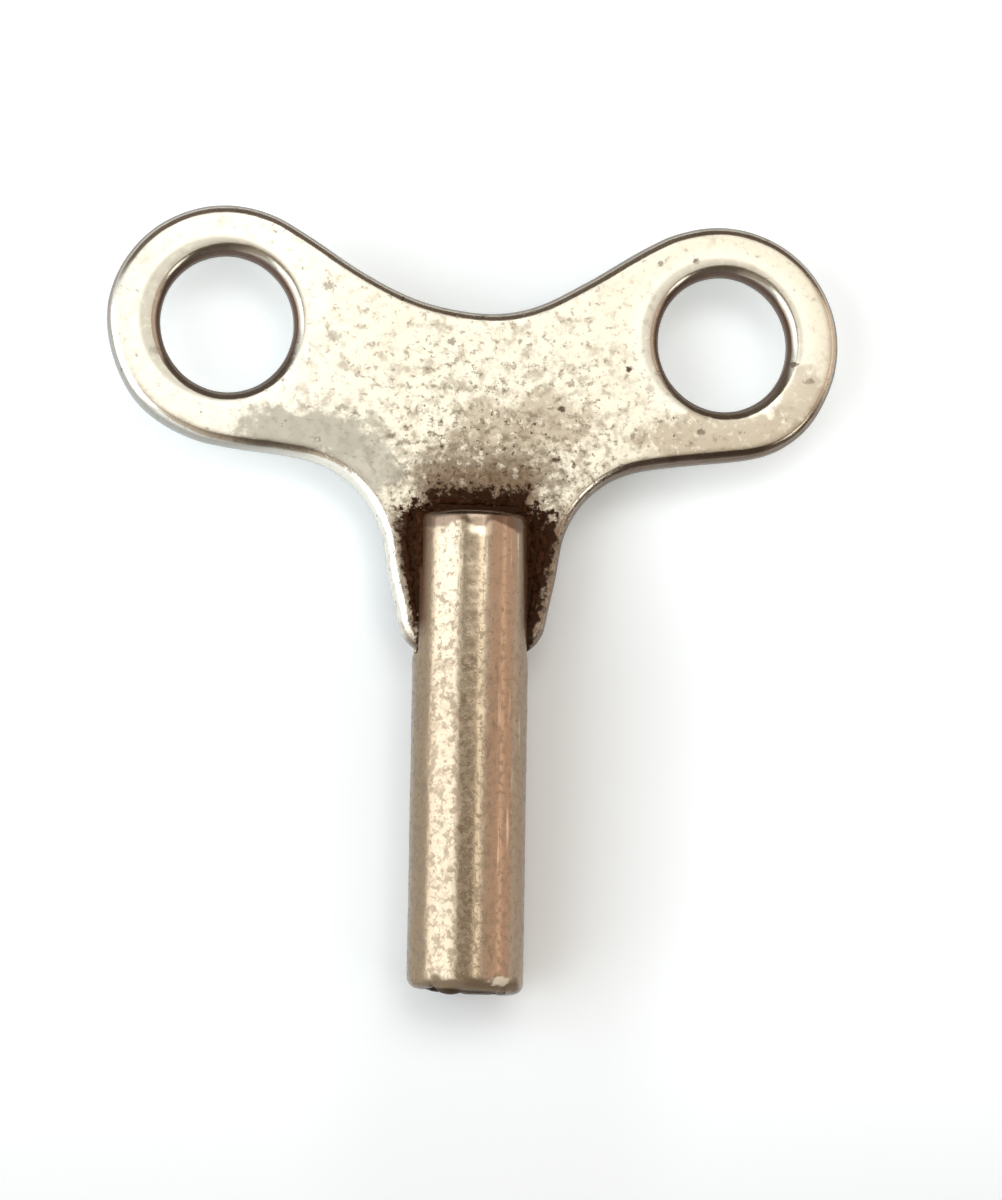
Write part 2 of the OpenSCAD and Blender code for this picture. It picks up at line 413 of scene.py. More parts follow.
def effect(name, inputs, outputs):
    # An empty node group with its named sockets, and its two end nodes.
    group = bpy.data.node_groups.new(name, "ShaderNodeTree")
    for socket, kind in inputs:
        group.interface.new_socket(socket, in_out="INPUT", socket_type="NodeSocket" + kind)
    for socket, kind in outputs:
        group.interface.new_socket(socket, in_out="OUTPUT", socket_type="NodeSocket" + kind)
    return group, add_node(group, "NodeGroupInput"), add_node(group, "NodeGroupOutput")


def graded(tree, source, output, low, high, at_low, at_high):
    # A value that goes evenly from one number to another while its source goes from low to high.
    values = {"From Min": low, "From Max": high, "To Min": at_low, "To Max": at_high}
    node = add_node(tree, "ShaderNodeMapRange", values)
    join(tree, (source, output, node, "Value"))
    return node


# Spots of corrosion: more of the surface goes under them as the share grows.
spots, ins, outs = effect("corrosion_spots", (("Vector", "Vector"), ("Scale", "Float"), ("Share", "Float"),
                                              ("Softness", "Float")), (("Mask", "Float"),))
noise = add_node(spots, "ShaderNodeTexNoise", {"Detail": 4.0, "Roughness": 0.66})
low = graded(spots, ins, "Share", 0, 1, 0.74, 0.34)
high = maths(spots, "ADD", low, (ins, "Softness"))
mask = add_node(spots, "ShaderNodeMapRange", interpolation_type="SMOOTHSTEP")
join(spots, (ins, "Vector", noise, "Vector"), (ins, "Scale", noise, "Scale"), (noise, 0, mask, "Value"),
     (low, 0, mask, "From Min"), (high, 0, mask, "From Max"), (mask, 0, outs, "Mask"))

# A patch of wear or stain: an oval with a broken edge.
patch, ins, outs = effect("worn_patch", (("Vector", "Vector"), ("Centre", "Vector"), ("Reach", "Vector"),
                                         ("Ragged", "Float"), ("Scale", "Float")), (("Mask", "Float"),))
away = add_node(patch, "ShaderNodeVectorMath", operation="SUBTRACT")
shrunk = add_node(patch, "ShaderNodeVectorMath", operation="DIVIDE")
far = add_node(patch, "ShaderNodeVectorMath", operation="LENGTH")
noise = add_node(patch, "ShaderNodeTexNoise", {"Detail": 5.0, "Roughness": 0.65})
middle = maths(patch, "SUBTRACT", noise, 0.5)
sway = maths(patch, "MULTIPLY_ADD", middle, (ins, "Ragged"), (far, "Value"))
mask = ramp(patch, sway, 0, 1.15, 0.70)
join(patch, (ins, "Vector", away, 0), (ins, "Centre", away, 1), (away, 0, shrunk, 0),
     (ins, "Reach", shrunk, 1), (shrunk, 0, far, 0), (ins, "Vector", noise, "Vector"),
     (ins, "Scale", noise, "Scale"), (mask, 0, outs, "Mask"))

# The reach of the scale round the braze: dark where it lies thick, and a brown stain where it thins out.
# It widens up the sides of the barrel and closes over its end.
scale_reach, ins, outs = effect("scale_reach", (("Vector", "Vector"),),
                                (("Soot", "Float"), ("Stain", "Float")))
apart = add_node(scale_reach, "ShaderNodeSeparateXYZ")
torn = add_node(scale_reach, "ShaderNodeTexNoise", {"Scale": 2000.0, "Detail": 5.0, "Roughness": 0.7})
join(scale_reach, (ins, "Vector", torn, "Vector"), (ins, "Vector", apart, 0))
out_by = maths(scale_reach, "ABSOLUTE", maths(scale_reach, "SUBTRACT", (apart, "X"), 0.2 * MM))
above_torn = maths(scale_reach, "MULTIPLY_ADD", torn, 5.5 * MM, (apart, "Y"))
widening = graded(scale_reach, apart, "Y", 21.0 * MM, 27.4 * MM, 3.40 * MM, 4.75 * MM)
closing = graded(scale_reach, above_torn, 0, 31.6 * MM, 32.5 * MM, 4.8 * MM, 3.0 * MM)
beyond = maths(scale_reach, "SUBTRACT", out_by, maths(scale_reach, "MINIMUM", widening, closing))
beyond_torn = maths(scale_reach, "MULTIPLY_ADD", torn, 2.2 * MM, beyond)
soot = all_of(scale_reach, ramp(scale_reach, beyond_torn, 0, 1.40 * MM, 0.95 * MM),
              ramp(scale_reach, above_torn, 0, 33.8 * MM, 33.0 * MM))
stain = all_of(scale_reach, ramp(scale_reach, beyond_torn, 0, 2.3 * MM, 1.0 * MM),
               ramp(scale_reach, above_torn, 0, 35.8 * MM, 33.4 * MM))
join(scale_reach, (soot, 0, outs, "Soot"), (stain, 0, outs, "Stain"))


def group(tree, place, kind, output="Object", **values):
    # One of the effects, in the coordinates that the place puts out.
    named = {key.capitalize(): value for key, value in values.items()}
    node = add_node(tree, "ShaderNodeGroup", named, node_tree=kind)
    join(tree, (place, output, node, "Vector"))
    return node


def stained(tree, place, under, over, stains, deep=1.5):
    # Lays a colour over another in ragged ovals on the front face of the plate.
    for x, y, wide, high, ragged, scale, strength in stains:
        oval = group(tree, place, patch, centre=(x * MM, y * MM, MM), ragged=ragged, scale=scale,
                     reach=(wide * MM, high * MM, deep * MM))
        under = tinted(tree, under, over, oval, strength)
    return under


NICKEL, NICKEL_WARM, NICKEL_WHITE = (0.775, 0.755, 0.645), (0.65, 0.62, 0.515), (0.865, 0.85, 0.765)
TAN, WORN_GREY_AND_SHADE, BLOT = (0.415, 0.36, 0.272), (0.40, 0.39, 0.33), (0.16, 0.115, 0.075)
SPECK, PIT, STAIN = (0.24, 0.20, 0.145), (0.08, 0.05, 0.032), (0.17, 0.11, 0.065)
# The pale wall is painted light where the walls face the window, and the hole wall is painted shade inside
# the holes.
WALL, WALL_PAINTED_LIT, HOLE_WALL_SHADE = (0.19, 0.145, 0.12), (0.42, 0.42, 0.39), (0.13, 0.075, 0.05)
UNDER_WING_PAINTED_SHADE, SOOT = (0.19, 0.145, 0.11), (0.030, 0.011, 0.004)
# Stains on the front face: their place and reach in mm, how torn and how fine their edge is, and how
# strongly they cover.
TAN_STAINS = ((15.9, 34.3, 6.2, 2.0, 2.2, 900.0, 0.75), (20.0, 37.1, 1.5, 2.2, 2.4, 900.0, 0.6),
              (1.4, 33.2, 3.6, 2.7, 2.0, 620.0, 0.75), (4.6, 35.1, 2.9, 1.7, 2.0, 620.0, 0.7))
# By the joint the plate is darker: a stain from the braze, with painted shade between the tang and the
# barrel.
JOINT_STAIN_AND_SHADE = ((0.4, 31.0, 5.2, 2.2, 2.4, 1100.0, 0.7),)
GREY_STAINS = ((-10.4, 33.7, 4.3, 1.75, 2.1, 900.0, 0.9), (-6.6, 31.9, 2.3, 1.9, 2.2, 1100.0, 0.8))
# The larger pits: where they are and half their width, in mm, and how dark. They are a little lower than
# wide, and their edge is torn and fine.
MARKS = ((9.34, 38.33, 0.25, 0.95), (5.25, 35.65, 0.24, 0.9), (4.95, 32.55, 0.26, 0.9),
         (19.61, 39.03, 0.26, 0.8), (-9.14, 42.74, 0.40, 0.5), (-1.63, 39.56, 0.32, 0.6),
         (11.25, 45.01, 0.22, 0.6), (13.43, 45.24, 0.22, 0.6), (-8.75, 39.60, 0.45, 0.35),
         (20.56, 38.0, 0.32, 0.5), (13.9, 34.6, 0.26, 0.6), (-19.6, 38.3, 0.35, 0.3))
MARK_LOW, MARK_RAGGED, MARK_SCALE = 0.7, 3.2, 6500.0
# Round each hole a grey disc is painted a little off the hole, so that it shows as a crescent of painted
# shade beside the hole's edge: the middle of the disc and how strongly it covers, and then where its edge
# ends and is full.
SHADED_DISCS = ((-LOOP_X - 0.32 * MM, LOOP_Y + 0.16 * MM, 0.75), (LOOP_X - 0.06 * MM, LOOP_Y + 0.18 * MM, 0.6))
SHADED_DISC_EDGE = (5.22 * MM, 4.88 * MM)
# The middle of the joint, and the distances from it at which the spots are fewest and most.
JOINT_AT, SPOTS_FEWEST, SPOTS_MOST = (0.8 * MM, 29 * MM, 0), 20 * MM, 2 * MM

nickel = new_material("nickel_on_steel")
tree = nickel.node_tree
out = add_node(tree, "ShaderNodeOutputMaterial")
metal = add_node(tree, "ShaderNodeBsdfPrincipled", {"IOR": 1.5})
place = add_node(tree, "ShaderNodeTexCoord")
cloud = group(tree, place, spots, scale=330.0, share=0.52, softness=0.22)
dapple = group(tree, place, spots, scale=800.0, share=0.54, softness=0.20)
grain = group(tree, place, spots, scale=2000.0, share=0.54, softness=0.18)
mottle = group(tree, place, spots, scale=1150.0, softness=0.20)
speck = group(tree, place, spots, scale=2000.0, softness=0.12)
fleck = group(tree, place, spots, scale=1800.0, share=0.48, softness=0.10)
pit = group(tree, place, spots, scale=2700.0, softness=0.06)
scar = group(tree, place, spots, scale=1250.0, share=0.20, softness=0.05)
blot = group(tree, place, spots, scale=1700.0, share=0.60, softness=0.10)
scaled = group(tree, place, scale_reach)
near = add_node(tree, "ShaderNodeVectorMath", {1: JOINT_AT}, operation="DISTANCE")
apart = add_node(tree, "ShaderNodeSeparateXYZ")
flat = add_node(tree, "ShaderNodeCombineXYZ")
from_loop = add_node(tree, "ShaderNodeVectorMath", {1: (LOOP_X, LOOP_Y, 0)}, operation="DISTANCE")
join(tree, (place, "Object", near, 0), (place, "Object", apart, 0),
     (maths(tree, "ABSOLUTE", (apart, "X")), 0, flat, "X"), (apart, "Y", flat, "Y"), (flat, 0, from_loop, 0),
     (graded(tree, near, "Value", SPOTS_FEWEST, SPOTS_MOST, 0.42, 0.82), 0, mottle, "Share"),
     (graded(tree, near, "Value", SPOTS_FEWEST, SPOTS_MOST, 0.34, 0.66), 0, speck, "Share"),
     (graded(tree, near, "Value", 16 * MM, SPOTS_MOST, 0.03, 0.42), 0, pit, "Share"))
strong = graded(tree, near, "Value", 19 * MM, 5 * MM, 0.38, 0.95)
near_blot = all_of(tree, blot, ramp(tree, near, "Value", 7.0 * MM, 2.5 * MM))
# Off the flat faces come the rounded edges, and then the wall of the edge or of a hole.
off_face = maths(tree, "ABSOLUTE", (apart, "Z"))
edge = ramp(tree, off_face, 0, 0.992 * MM, 0.95 * MM)
wall = ramp(tree, off_face, 0, 0.90 * MM, 0.62 * MM)
bright_ring = ramp(tree, from_loop, "Value", 6.4 * MM, 5.2 * MM)
# Painted shade: the walls of the holes and the inner part of their rounded edges are painted dark.
painted_shade_in_hole = ramp(tree, from_loop, "Value", 4.60 * MM, 4.20 * MM)
left_wing = ramp(tree, apart, "X", -4 * MM, -13 * MM)
right_wing = ramp(tree, apart, "X", 3 * MM, 21 * MM)
# Painted light: the walls of the left wing, on the window's side, are painted paler.
painted_window_light = all_of(tree, wall, left_wing, ramp(tree, apart, "Y", 43 * MM, 38 * MM))
# Painted shade: a brown band along the rounded edge under the right wing.
painted_shade_under_wing = all_of(tree, band(tree, apart, "X", 7.0 * MM, 9.5 * MM, 17.4 * MM, 18.6 * MM), edge,
                    ramp(tree, apart, "Y", 35.0 * MM, 34.4 * MM))
# Painted highlight: the left edge of the tang below the wing is painted nearly white.
painted_highlight_neck = all_of(tree, ramp(tree, apart, "X", -3.6 * MM, -4.4 * MM),
                   ramp(tree, apart, "Y", 32.9 * MM, 32.0 * MM), edge)

# The finish from the plating up, with painted light and shade among it: each colour, where it lies, and how
# strongly it covers.
colour = tinted(tree, NICKEL, NICKEL_WHITE, left_wing, 0.7)
for over, mask, strength in ((NICKEL_WARM, right_wing, 0.6), (NICKEL_WARM, cloud, 0.55),
                             (TAN, dapple, 0.50), (TAN, grain, 0.42), (NICKEL_WHITE, bright_ring, 0.6)):
    colour = tinted(tree, colour, over, mask, strength)
# Painted shade: a grey crescent beside each hole.
for x, y, strength in SHADED_DISCS:
    from_disc = add_node(tree, "ShaderNodeVectorMath", {1: (x, y, MM)}, operation="DISTANCE")
    join(tree, (place, "Object", from_disc, 0))
    colour = tinted(tree, colour, WORN_GREY_AND_SHADE, ramp(tree, from_disc, "Value", *SHADED_DISC_EDGE), strength)
colour = stained(tree, place, colour, TAN, TAN_STAINS)
colour = tinted(tree, colour, TAN, all_of(tree, mottle, strong), 0.8)
# Stain and painted shade by the joint.
colour = stained(tree, place, colour, SPECK, JOINT_STAIN_AND_SHADE)
for over, mask, strength in ((SPECK, all_of(tree, speck, strong), 0.85),
                             (NICKEL, all_of(tree, fleck, strong), 0.8), (BLOT, near_blot, 0.75)):
    colour = tinted(tree, colour, over, mask, strength)
colour = stained(tree, place, colour, WORN_GREY_AND_SHADE, GREY_STAINS)
marks = [(x, y, half, MARK_LOW * half, MARK_RAGGED, MARK_SCALE, dark) for x, y, half, dark in MARKS]
colour = stained(tree, place, colour, PIT, marks, deep=1.0)
for over, mask, strength in ((WALL, wall, 0.85), (WALL_PAINTED_LIT, painted_window_light, 0.85),
                             (UNDER_WING_PAINTED_SHADE, painted_shade_under_wing, 0.7), (NICKEL_WHITE, painted_highlight_neck, 0.9),
                             (HOLE_WALL_SHADE, painted_shade_in_hole, 0.9), (PIT, pit, 0.85), (PIT, scar, 0.55)):
    colour = tinted(tree, colour, over, mask, strength)
colour = tinted(tree, colour, STAIN, scaled, 0.75, "Stain")
colour = tinted(tree, colour, SOOT, scaled, 0.97, "Soot")

rough = maths(tree, "MULTIPLY_ADD", edge, -0.28, maths(tree, "MULTIPLY_ADD", mottle, 0.08, 0.46))
dull = maths(tree, "MAXIMUM", maths(tree, "MULTIPLY", wall, 0.5), (scaled, "Soot"))
deep = maths(tree, "MULTIPLY_ADD", speck, -0.5, maths(tree, "MULTIPLY", pit, -1.0))
bump = add_node(tree, "ShaderNodeBump", {"Strength": 0.4, "Distance": 0.03 * MM})
join(tree, (colour, 2, metal, "Base Color"), (rough, 0, metal, "Roughness"),
     (graded(tree, dull, 0, 0, 1, 0.95, 0.0), 0, metal, "Metallic"),
     (graded(tree, dull, 0, 0, 1, 0.5, 0.02), 0, metal, "Specular IOR Level"),
     (deep, 0, bump, "Height"), (bump, 0, metal, "Normal"), (metal, 0, out, "Surface"))
bow.data.materials.append(nickel)


# The barrel. A round bar, slotted across its upper end for the tang and drilled at its lower end,
# where a punch has made the hole square. The plating has gone brown along it.
BARREL_R, BARREL_LEN = 3.5 * MM, 29.0 * MM
TOP_ROUND, MOUTH_ROUND = 0.4 * MM, 0.7 * MM
SLOT_DEPTH, SLOT_T = 8.5 * MM, 2.1 * MM
SQUARE, SQUARE_DEPTH = 4.25 * MM, 9.5 * MM
DRILL_R, DRILL_DEPTH, DRILL_TIP = 2.25 * MM, 12.0 * MM, 1.35 * MM
BARREL_GRAIN = 0.113 * MM
# The mouth's face stands back from the true end and leans, and the punch has pushed a torn lip out of it.
# The lip lies a little outside the socket and is rooted in the face. Each bit of it has its place along its
# side of the socket, half its width and half its thickness, in mm, the turn to that side, and how far it
# stands out, as a share of the way to the true end.
MOUTH_BACK, MOUTH_LEAN = 0.46 * MM, radians(3.1)
LIP_OUT, LIP_ROOT = 2.45 * MM, 0.05 * MM
BURRS = ((-1.15, 0.80, 0.42, 0, 1.0), (0.55, 1.25, 0.30, 0, 0.8), (2.10, 0.14, 0.18, 0, 1.0),
         (-0.9, 0.8, 0.4, pi, 0.35), (0.9, 0.9, 0.35, pi, 0.25))

deselect()
bpy.ops.mesh.primitive_cylinder_add(vertices=160, radius=BARREL_R, depth=BARREL_LEN - MOUTH_BACK,
                                    location=(0, (BARREL_LEN + MOUTH_BACK) / 2, 0), rotation=(-pi / 2, 0, 0))
barrel = bpy.context.object
barrel.name = "barrel_bar"
place_in_mesh(barrel)
bpy.ops.object.mode_set(mode="EDIT")
pick(barrel, "EDGE", lambda e: all(v.co.y > BARREL_LEN - NEARLY for v in e.verts))
bpy.ops.mesh.bevel(offset=TOP_ROUND, segments=8, profile=0.5, affect="EDGES")
pick(barrel, "EDGE", lambda e: all(v.co.y < MOUTH_BACK + NEARLY for v in e.verts))
bpy.ops.mesh.bevel(offset=MOUTH_ROUND, segments=8, profile=0.5, affect="EDGES")
pick(barrel, "VERT", lambda v: v.co.y < MOUTH_BACK + 1.01 * MOUTH_ROUND)
bpy.ops.transform.rotate(value=MOUTH_LEAN, orient_axis="Z", center_override=(-BARREL_R, MOUTH_BACK, 0))
bpy.ops.object.mode_set(mode="OBJECT")


def combine(piece, other, operation):
    finish_with(piece, "BOOLEAN", operation=operation, object=other, solver="EXACT")
    bpy.data.objects.remove(other, do_unlink=True)


for along, half, thick, turned, rise in BURRS:
    face_y = MOUTH_BACK - (BARREL_R + along * MM * cos(turned)) * tan(MOUTH_LEAN)
    at = Vector((along * MM * cos(turned) + LIP_OUT * sin(turned), face_y + LIP_ROOT,
                 LIP_OUT * cos(turned) - along * MM * sin(turned)))
    deselect()
    bpy.ops.mesh.primitive_ico_sphere_add(subdivisions=3, radius=1, location=at, rotation=(0, turned, 0),
                                          scale=(half * MM, (LIP_ROOT + face_y) * rise, thick * MM))
    combine(barrel, bpy.context.object, "UNION")
deselect()
bpy.ops.mesh.primitive_cube_add(size=1, location=(0, BARREL_LEN, 0),
                                scale=(3 * BARREL_R, 2 * SLOT_DEPTH, SLOT_T))
combine(barrel, bpy.context.object, "DIFFERENCE")
deselect()
bpy.ops.mesh.primitive_cube_add(size=1, location=(0, 0, 0), scale=(SQUARE, 2 * SQUARE_DEPTH, SQUARE))
combine(barrel, bpy.context.object, "DIFFERENCE")
deselect()
bpy.ops.mesh.primitive_cylinder_add(vertices=64, radius=DRILL_R, depth=DRILL_DEPTH + MM,
                                    location=(0, (DRILL_DEPTH - MM) / 2, 0), rotation=(-pi / 2, 0, 0))
combine(barrel, bpy.context.object, "DIFFERENCE")
deselect()
tip_y = DRILL_DEPTH - NEARLY + DRILL_TIP / 2
bpy.ops.mesh.primitive_cone_add(vertices=64, radius1=DRILL_R, radius2=0, depth=DRILL_TIP,
                                location=(0, tip_y, 0), rotation=(-pi / 2, 0, 0))
combine(barrel, bpy.context.object, "DIFFERENCE")
finish_with(barrel, "REMESH", mode="VOXEL", voxel_size=BARREL_GRAIN, use_smooth_shade=True)
finish_with(barrel, "SMOOTH", factor=0.5, iterations=3)
relief(barrel, 2.6 * MM, 0.05 * MM)
relief(barrel, 0.6 * MM, 0.020 * MM)
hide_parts("barrel")
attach(barrel, "root")

BARREL_NICKEL, BARREL_BRIGHT, BARREL_SIDE = (0.415, 0.345, 0.255), (0.48, 0.42, 0.32), (0.34, 0.24, 0.152)
# The coppery tint is partly copper showing through and partly a painted reflection of the warm room, on the
# right of the barrel.
BROWNED, COPPER_AND_WARM_REFLECTION, PAINTED_GLINT = (0.275, 0.215, 0.15), (0.485, 0.36, 0.262), (0.90, 0.74, 0.58)
# The rubbed colour serves a rubbed patch at the mouth and a painted highlight near the top.
RUBBED_AND_HIGHLIGHT, MOUTH_BROWN, SOCKET_SHADE = (0.92, 0.86, 0.72), (0.15, 0.105, 0.062), (0.05, 0.033, 0.022)
BARREL_SPECK, RIM_PAINTED_REFLECTION, FLANK_SCALE = (0.20, 0.155, 0.115), (0.15, 0.10, 0.072), (0.075, 0.032, 0.014)
# The height of the mouth's face on the axis, a height just above the tip of the drilled hole, and where
# the painted shade of the socket ends and is full, from the axis.
FACE_Y, SOCKET_END = MOUTH_BACK - BARREL_R * tan(MOUTH_LEAN), 14.0 * MM
SOCKET_SIDE = (2.45 * MM, 2.25 * MM)

drawn = new_material("browned_nickel")
tree = drawn.node_tree
out = add_node(tree, "ShaderNodeOutputMaterial")
metal = add_node(tree, "ShaderNodeBsdfPrincipled", {"IOR": 1.5})
place = add_node(tree, "ShaderNodeTexCoord")
stretch = add_node(tree, "ShaderNodeMapping", {"Scale": (1, 0.05, 1)})
stretch_less = add_node(tree, "ShaderNodeMapping", {"Scale": (1, 0.3, 1)})
wave = add_node(tree, "ShaderNodeTexNoise", {"Scale": 700.0, "Detail": 1.0})
apart = add_node(tree, "ShaderNodeSeparateXYZ")
join(tree, (place, "Object", stretch, 0), (place, "Object", stretch_less, 0), (place, "Object", apart, 0),
     (place, "Object", wave, "Vector"))
streak = group(tree, stretch, spots, "Vector", scale=2200.0, share=0.5, softness=0.25)
painted_glint_noise = group(tree, stretch, spots, "Vector", scale=3200.0, share=0.37, softness=0.10)
painted_break_noise = group(tree, stretch_less, spots, "Vector", scale=1800.0, share=0.5, softness=0.12)
cloud = group(tree, place, spots, scale=500.0, share=0.5, softness=0.22)
mottle = group(tree, place, spots, scale=2300.0, softness=0.11)
speck = group(tree, place, spots, scale=3900.0, share=0.50, softness=0.12)
coarse = group(tree, place, spots, scale=1100.0, share=0.50, softness=0.07)
pit = group(tree, place, spots, scale=4300.0, share=0.16, softness=0.05)
rubbed = group(tree, place, patch, centre=(1.75 * MM, 0.85 * MM, 3 * MM),
               reach=(0.62 * MM, 0.30 * MM, 1.5 * MM), ragged=2.0, scale=2300.0)
join(tree, (graded(tree, apart, "Y", 28 * MM, 20 * MM, 0.42, 0.64), 0, mottle, "Share"))
sway = maths(tree, "MULTIPLY_ADD", wave, 1.6 * MM, (apart, "Y"))
leaning = maths(tree, "MULTIPLY_ADD", (apart, "X"), tan(MOUTH_LEAN), (apart, "Y"))
apart_x = maths(tree, "ABSOLUTE", (apart, "X"))
apart_z = maths(tree, "ABSOLUTE", (apart, "Z"))
# Where each mark of the finish and of the painted light and shade lies: X across the barrel, from left to
# right, and Y up from the mouth.
clear = graded(tree, apart, "X", 0.3 * MM, 1.3 * MM, 1.0, 0.45)
torn = all_of(tree, coarse, ramp(tree, apart, "Y", 23 * MM, 18 * MM),
              ramp(tree, apart, "X", 0.8 * MM, 0.2 * MM))
# Painted reflection: a darker strip down the middle of the barrel, where the one who looks on is mirrored.
painted_dark_reflection = band(tree, apart, "X", -0.7 * MM, -0.2 * MM, 0.2 * MM, 0.5 * MM)
# Painted highlights: bright glints in lengthwise streaks on the right of the barrel.
painted_glints = all_of(tree, painted_glint_noise, band(tree, apart, "X", 1.1 * MM, 1.6 * MM, 2.6 * MM, 3.0 * MM))
# Painted reflection: darker broken streaks low on the barrel, over the band where the room's thin bright
# line is mirrored, so that the line shows broken.
painted_break_in_reflection = all_of(tree, band(tree, apart, "X", 0.3 * MM, 0.5 * MM, 1.2 * MM, 1.5 * MM), painted_break_noise,
              ramp(tree, apart, "Y", 25 * MM, 17 * MM))
# Painted highlight: a pale arch across the middle of the barrel just below its top end, over the darker
# strip.
painted_highlight_cap = all_of(tree, band(tree, apart, "X", -0.9 * MM, -0.4 * MM, 0.5 * MM, 0.9 * MM),
             ramp(tree, sway, 0, 27.9 * MM, 28.4 * MM))
# Painted reflection: a pinkish brown band with a wavy lower edge round the barrel's rounded top.
painted_reflection_rim = ramp(tree, sway, 0, 28.65 * MM, 28.95 * MM)
flank = all_of(tree, ramp(tree, apart_z, 0, 2.55 * MM, 1.5 * MM),
               ramp(tree, apart, "Y", 20.9 * MM, 22.6 * MM))
mouth = ramp(tree, sway, 0, 1.95 * MM, 1.45 * MM)
# Painted shade: the torn lip at the mouth and the inside of the socket are painted nearly black.
lip = ramp(tree, leaning, 0, FACE_Y + 0.08 * MM, FACE_Y - 0.03 * MM)
painted_shade_in_socket = all_of(tree, ramp(tree, apart_x, 0, *SOCKET_SIDE), ramp(tree, apart_z, 0, *SOCKET_SIDE),
                   ramp(tree, apart, "Y", SOCKET_END + 0.5 * MM, SOCKET_END))

# The finish from the plating up, as on the bow, with painted light and shade among it.
colour = tinted(tree, BARREL_NICKEL, BARREL_BRIGHT, ramp(tree, apart, "Y", 15 * MM, 25 * MM), 0.8)
for over, mask, strength in ((BROWNED, cloud, 0.6),
                             (COPPER_AND_WARM_REFLECTION, ramp(tree, apart, "X", 0.2 * MM, 1.6 * MM), 0.8),
                             (BARREL_SIDE, ramp(tree, apart_x, 0, 2.1 * MM, 2.9 * MM), 0.85),
                             (BROWNED, streak, 0.35), (BROWNED, all_of(tree, mottle, clear), 0.85),
                             (BARREL_SPECK, all_of(tree, speck, clear), 0.6), (BROWNED, torn, 0.75),
                             (BROWNED, painted_dark_reflection, 0.35), (PAINTED_GLINT, painted_glints, 0.8), (BROWNED, painted_break_in_reflection, 0.75),
                             (RUBBED_AND_HIGHLIGHT, painted_highlight_cap, 0.6), (RIM_PAINTED_REFLECTION, painted_reflection_rim, 0.85), (FLANK_SCALE, flank, 0.92),
                             (MOUTH_BROWN, mouth, 0.85), (RUBBED_AND_HIGHLIGHT, rubbed, 0.75), (SOCKET_SHADE, lip, 0.9),
                             (SOCKET_SHADE, painted_shade_in_socket, 0.9), (PIT, pit, 0.7)):
    colour = tinted(tree, colour, over, mask, strength)

dull = maths(tree, "MAXIMUM", mouth, flank)
deep = maths(tree, "MULTIPLY_ADD", mottle, -0.12, maths(tree, "MULTIPLY", pit, -1.0))
deep_all = maths(tree, "MULTIPLY_ADD", streak, -0.25, deep)
bump = add_node(tree, "ShaderNodeBump", {"Strength": 0.45, "Distance": 0.03 * MM})
join(tree, (colour, 2, metal, "Base Color"),
     (maths(tree, "MULTIPLY_ADD", mottle, 0.16, 0.19), 0, metal, "Roughness"),
     (graded(tree, dull, 0, 0, 1, 0.95, 0.2), 0, metal, "Metallic"),
     (graded(tree, dull, 0, 0, 1, 0.5, 0.08), 0, metal, "Specular IOR Level"),
     (deep_all, 0, bump, "Height"), (bump, 0, metal, "Normal"), (metal, 0, out, "Surface"))
barrel.data.materials.append(drawn)


# The braze. Filler metal has run up both sides of the barrel and over its end, on the front and on
# the back of the bow, and is buried under dark brown scale and old flux with a ragged edge.
SHOULDER = sqrt(BARREL_R ** 2 - (PLATE_T / 2) ** 2)
CRUST_GRAIN = 0.07 * MM
# The crust against the plain fillets: narrower at its foot, wider where it is widest, narrower over the
# barrel's end, and lower on the plate. First the heights, then how far out from the middle each change
# begins, and last by how much.
FOOT_Y, WIDEST_Y, END_Y = 24 * MM, 27.4 * MM, 29.2 * MM
WIDEST_FROM, END_FROM, FACE_FROM = 3.6 * MM, 2.6 * MM, 1.2 * MM
FOOT_IN, WIDEST_OUT, END_IN, LOWERED = 0.84, 1.06, 0.80, 0.78
# Crumbs of scale beside it: how many, between which radii, and the share of them along its sides. Those
# lie between two heights in mm, and the others above the second, over the barrel's end.
CRUMBS, CRUMB_R, SIDE_SHARE = 90, (0.06 * MM, 0.14 * MM), 0.62
SIDE_FOOT, SIDE_TOP = 22.5, 29.4

crust = bpy.data.objects.new("braze_crust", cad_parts["braze_front"].data.copy())
bpy.context.scene.collection.objects.link(crust)
other = bpy.data.objects.new("braze_back_copy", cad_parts["braze_back"].data.copy())
bpy.context.scene.collection.objects.link(other)
take_up(crust)
other.select_set(True)
bpy.ops.object.join()
bpy.ops.object.mode_set(mode="EDIT")
bpy.ops.mesh.select_all(action="SELECT")
bpy.ops.mesh.remove_doubles(threshold=0.001 * MM)
bpy.ops.mesh.select_all(action="SELECT")
bpy.ops.mesh.bisect(plane_co=(0, WIDEST_Y, 0), plane_no=(0, 1, 0))
pick(crust, "VERT", lambda v: v.co.y < FOOT_Y)
bpy.ops.transform.resize(value=(FOOT_IN, 1, 1))
pick(crust, "VERT", lambda v: abs(v.co.y - WIDEST_Y) < NEARLY and abs(v.co.x) > WIDEST_FROM)
bpy.ops.transform.resize(value=(WIDEST_OUT, 1, 1))
pick(crust, "VERT", lambda v: v.co.y > END_Y and abs(v.co.x) > END_FROM)
bpy.ops.transform.resize(value=(END_IN, 1, 1))
pick(crust, "VERT", lambda v: abs(v.co.z) > FACE_FROM)
bpy.ops.transform.resize(value=(1, 1, LOWERED))
crumbs = random.Random(7)
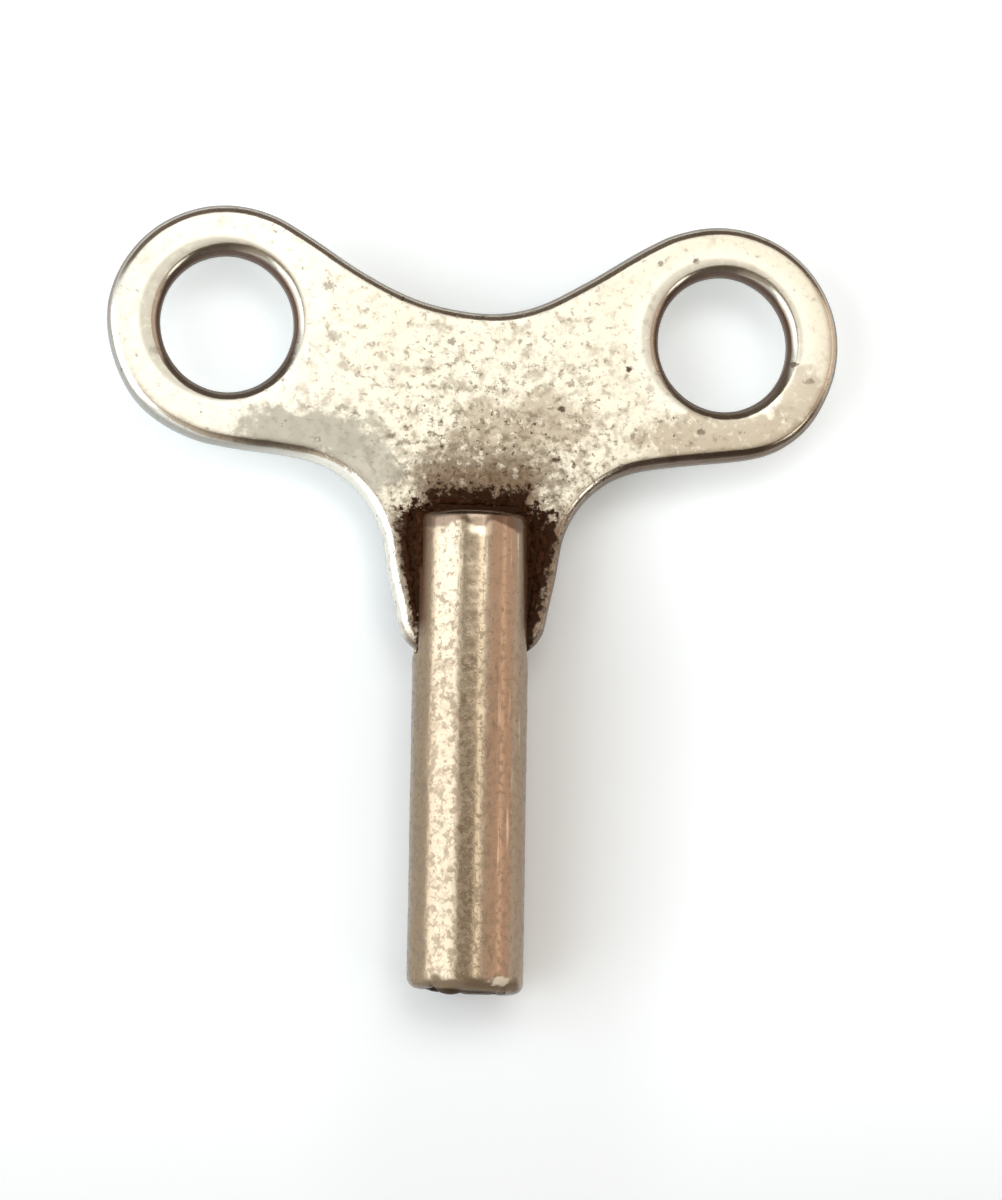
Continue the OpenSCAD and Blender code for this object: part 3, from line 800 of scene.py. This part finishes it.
for _ in range(CRUMBS):
    part_way = crumbs.random()
    side = crumbs.choice((-1, 1))
    face_z = crumbs.choice((-1, 1)) * PLATE_T / 2
    if part_way < SIDE_SHARE:
        height = crumbs.uniform(SIDE_FOOT, SIDE_TOP)
        out_x = SHOULDER + crumbs.uniform(0.5, 1.0) * (height - 19) / 10 * MM
        spot = (side * out_x, height * MM, face_z)
    else:
        spot = (side * crumbs.uniform(0, 3.6) * MM, (SIDE_TOP + crumbs.uniform(0.2, 1.0)) * MM, face_z)
    bpy.ops.mesh.primitive_ico_sphere_add(subdivisions=2, radius=crumbs.uniform(*CRUMB_R), location=spot)
bpy.ops.object.mode_set(mode="OBJECT")
finish_with(crust, "REMESH", mode="VOXEL", voxel_size=CRUST_GRAIN, use_smooth_shade=True)
relief(crust, 0.5 * MM, 0.22 * MM)
relief(crust, 0.18 * MM, 0.06 * MM)
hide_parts("braze_front", "braze_back")
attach(crust, "root")

SCALE_DARK, SCALE_BROWN = (0.020, 0.006, 0.002), (0.068, 0.030, 0.015)

scale_brown = new_material("braze_under_scale")
tree = scale_brown.node_tree
out = add_node(tree, "ShaderNodeOutputMaterial")
metal = add_node(tree, "ShaderNodeBsdfPrincipled", {"Roughness": 0.9, "Specular IOR Level": 0.02})
place = add_node(tree, "ShaderNodeTexCoord")
apart = add_node(tree, "ShaderNodeSeparateXYZ")
scaled = group(tree, place, scale_reach)
speck = group(tree, place, spots, scale=2000.0, share=0.6, softness=0.15)
grain = add_node(tree, "ShaderNodeTexNoise", {"Scale": 3000.0, "Detail": 4.0})
tone = add_node(tree, "ShaderNodeValToRGB")
for element, at, shade in zip(tone.color_ramp.elements, (0.35, 0.75), (SCALE_DARK, SCALE_BROWN)):
    element.position = at
    element.color = (*shade, 1)
bump = add_node(tree, "ShaderNodeBump", {"Strength": 0.5, "Distance": 0.05 * MM})
mixed = add_node(tree, "ShaderNodeMix", data_type="RGBA")
colour = tinted(tree, TAN, SPECK, speck, 0.8)
colour = tinted(tree, colour, STAIN, scaled, 0.75, "Stain")
join(tree, (place, "Object", grain, "Vector"), (place, "Object", apart, 0), (grain, 0, tone, 0))
thick = maths(tree, "MAXIMUM", (scaled, "Soot"), ramp(tree, apart, "Y", 27.6 * MM, 26.6 * MM))
join(tree, (thick, 0, mixed, 0), (colour, 2, mixed, 6), (tone, 0, mixed, 7), (mixed, 2, metal, "Base Color"),
     (graded(tree, thick, 0, 0, 1, 0.75, 0.0), 0, metal, "Metallic"),
     (grain, 0, bump, "Height"), (bump, 0, metal, "Normal"), (metal, 0, out, "Surface"))
crust.data.materials.clear()
crust.data.materials.append(scale_brown)
